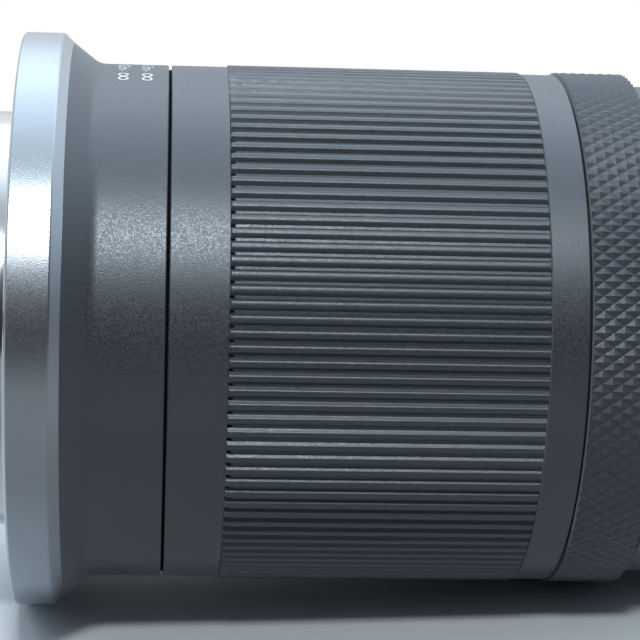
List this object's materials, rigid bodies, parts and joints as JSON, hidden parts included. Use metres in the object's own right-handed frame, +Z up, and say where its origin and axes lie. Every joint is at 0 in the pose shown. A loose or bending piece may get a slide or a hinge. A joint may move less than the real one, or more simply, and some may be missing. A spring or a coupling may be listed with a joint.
{
  "type": "camera zoom lens",
  "caption": "Interchangeable zoom lens: bayonet mount, ribbed zoom ring that extends the front barrel through a cam sleeve, knurled control ring, iris, stabiliser and focus drive.",
  "frame": {"origin": "centre of the bayonet mount, on the flange face that meets the camera", "axes": "+X along the optical axis from the mount to the front, +Z up as the lens sits on a level camera"},
  "size_m": [0.0899, 0.069, 0.069],
  "materials": {
    "mount_chrome": "bright machined plate",
    "screw_steel": "turned steel",
    "trim_silver": "satin silver paint",
    "barrel_plastic": "fine sparkling grain",
    "grip_rubber": "moulded ribs",
    "control_plastic": "diamond knurl",
    "inner_black": "matt black, non-reflecting",
    "contact_gold": "gold plated",
    "glass": "coated optical glass",
    "board_green": "solder mask",
    "roller_resin": "natural bearing resin",
    "cam_aluminium": "turned and milled",
    "felt": "black felt",
    "blade_steel": "black coated foil"
  },
  "bodies": {
    "barrel": {"mount_plate": "mount_chrome", "mount_screws": "screw_steel", "trim_ring": "trim_silver", "rear_barrel": "barrel_plastic", "rear_baffle": "inner_black", "contact_block": "inner_black", "contact_pins": "contact_gold", "rear_cell": "inner_black", "rear_lens": "glass", "main_board": "board_green", "guide_tube": "inner_black", "guide_screws": "screw_steel", "front_carrier": "inner_black", "carrier_screws": "screw_steel", "control_sensors": "inner_black", "control_retainer": "inner_black", "light_seal": "felt"},
    "zoom": {"zoom_ring": "barrel_plastic", "zoom_grip": "grip_rubber", "cam_sleeve": "cam_aluminium", "zoom_keys": "screw_steel"},
    "control": {"control_ring": "control_plastic"},
    "front": {"extension_barrel": "barrel_plastic", "barrel_followers": "roller_resin", "front_ring": "barrel_plastic", "front_cell": "inner_black", "name_ring": "inner_black", "front_lens": "glass", "second_lens": "glass", "third_lens": "glass"},
    "variator": {"variator_frame": "inner_black", "variator_followers": "roller_resin", "variator_front_lens": "glass", "variator_rear_lens": "glass"},
    "carriage": {"carriage_frame": "inner_black", "carriage_followers": "roller_resin", "iris_base": "inner_black", "iris_cover": "inner_black", "relay_cell": "inner_black", "relay_lens": "glass", "focus_bracket": "inner_black", "guide_rods": "screw_steel", "focus_motor": "screw_steel"},
    "iris": {"iris_ring": "inner_black"},
    "shift_guide": {"shift_guide": "inner_black"},
    "shift_lens": {"shift_frame": "inner_black", "shift_lens": "glass"},
    "focus_screw": {"focus_screw": "screw_steel"},
    "focus": {"focus_frame": "inner_black", "focus_lens": "glass"},
    "blade_1": {"iris_blade_1": "blade_steel"},
    "blade_2": {"iris_blade_2": "blade_steel"},
    "blade_3": {"iris_blade_3": "blade_steel"},
    "blade_4": {"iris_blade_4": "blade_steel"},
    "blade_5": {"iris_blade_5": "blade_steel"},
    "blade_6": {"iris_blade_6": "blade_steel"},
    "blade_7": {"iris_blade_7": "blade_steel"}
  },
  "joints": [
    {"name": "zoom_turn", "type": "hinge", "parent": "barrel", "child": "zoom", "pos_m": [0.04, 0, 0], "axis": [1, 0, 0], "range_deg": [0, 75]},
    {"name": "control_turn", "type": "hinge", "parent": "barrel", "child": "control", "pos_m": [0.068, 0, 0], "axis": [1, 0, 0], "continuous": true},
    {"name": "barrel_extend", "type": "slide", "parent": "barrel", "child": "front", "axis": [1, 0, 0], "range_m": [0, 0.042]},
    {"name": "variator_move", "type": "slide", "parent": "barrel", "child": "variator", "axis": [1, 0, 0], "range_m": [0, 0.008]},
    {"name": "carriage_move", "type": "slide", "parent": "barrel", "child": "carriage", "axis": [1, 0, 0], "range_m": [0, 0.02]},
    {"name": "iris_turn", "type": "hinge", "parent": "carriage", "child": "iris", "pos_m": [0.0347, 0, 0], "axis": [1, 0, 0], "range_deg": [0, 6.23]},
    {"name": "shift_vertical", "type": "slide", "parent": "carriage", "child": "shift_guide", "axis": [0, 0, 1], "range_m": [-0.0008, 0.0008]},
    {"name": "shift_sideways", "type": "slide", "parent": "shift_guide", "child": "shift_lens", "axis": [0, 1, 0], "range_m": [-0.0008, 0.0008]},
    {"name": "focus_screw_turn", "type": "hinge", "parent": "carriage", "child": "focus_screw", "pos_m": [0.017, -0.01689, 0.00975], "axis": [1, 0, 0], "range_deg": [-1405, 541]},
    {"name": "focus_move", "type": "slide", "parent": "carriage", "child": "focus", "axis": [1, 0, 0], "range_m": [-0.0039, 0.0015]},
    {"name": "blade_1_swing", "type": "hinge", "parent": "carriage", "child": "blade_1", "pos_m": [0.0334, 0.013, 0], "axis": [1, 0, 0], "range_deg": [0, 30.05]},
    {"name": "blade_2_swing", "type": "hinge", "parent": "carriage", "child": "blade_2", "pos_m": [0.0334, 0.00811, 0.01016], "axis": [1, 0, 0], "range_deg": [0, 30.05]},
    {"name": "blade_3_swing", "type": "hinge", "parent": "carriage", "child": "blade_3", "pos_m": [0.0334, -0.00289, 0.01267], "axis": [1, 0, 0], "range_deg": [0, 30.05]},
    {"name": "blade_4_swing", "type": "hinge", "parent": "carriage", "child": "blade_4", "pos_m": [0.0334, -0.01171, 0.00564], "axis": [1, 0, 0], "range_deg": [0, 30.05]},
    {"name": "blade_5_swing", "type": "hinge", "parent": "carriage", "child": "blade_5", "pos_m": [0.0334, -0.01171, -0.00564], "axis": [1, 0, 0], "range_deg": [0, 30.05]},
    {"name": "blade_6_swing", "type": "hinge", "parent": "carriage", "child": "blade_6", "pos_m": [0.0334, -0.00289, -0.01267], "axis": [1, 0, 0], "range_deg": [0, 30.05]},
    {"name": "blade_7_swing", "type": "hinge", "parent": "carriage", "child": "blade_7", "pos_m": [0.0334, 0.00811, -0.01016], "axis": [1, 0, 0], "range_deg": [0, 30.05]}
  ],
  "couplings": [
    {"joint": "barrel_extend", "follows": "zoom_turn", "m_per_rad": 0.032086},
    {"joint": "variator_move", "follows": "zoom_turn", "m_per_rad": 0.0061115},
    {"joint": "carriage_move", "follows": "zoom_turn", "m_per_rad": 0.015279},
    {"joint": "focus_screw_turn", "follows": "focus_move", "rad_per_m": 6283.2},
    {"joint": "blade_1_swing", "follows": "iris_turn", "ratio": 4.8155},
    {"joint": "blade_2_swing", "follows": "iris_turn", "ratio": 4.8155},
    {"joint": "blade_3_swing", "follows": "iris_turn", "ratio": 4.8155},
    {"joint": "blade_4_swing", "follows": "iris_turn", "ratio": 4.8155},
    {"joint": "blade_5_swing", "follows": "iris_turn", "ratio": 4.8155},
    {"joint": "blade_6_swing", "follows": "iris_turn", "ratio": 4.8155},
    {"joint": "blade_7_swing", "follows": "iris_turn", "ratio": 4.8155}
  ]
}
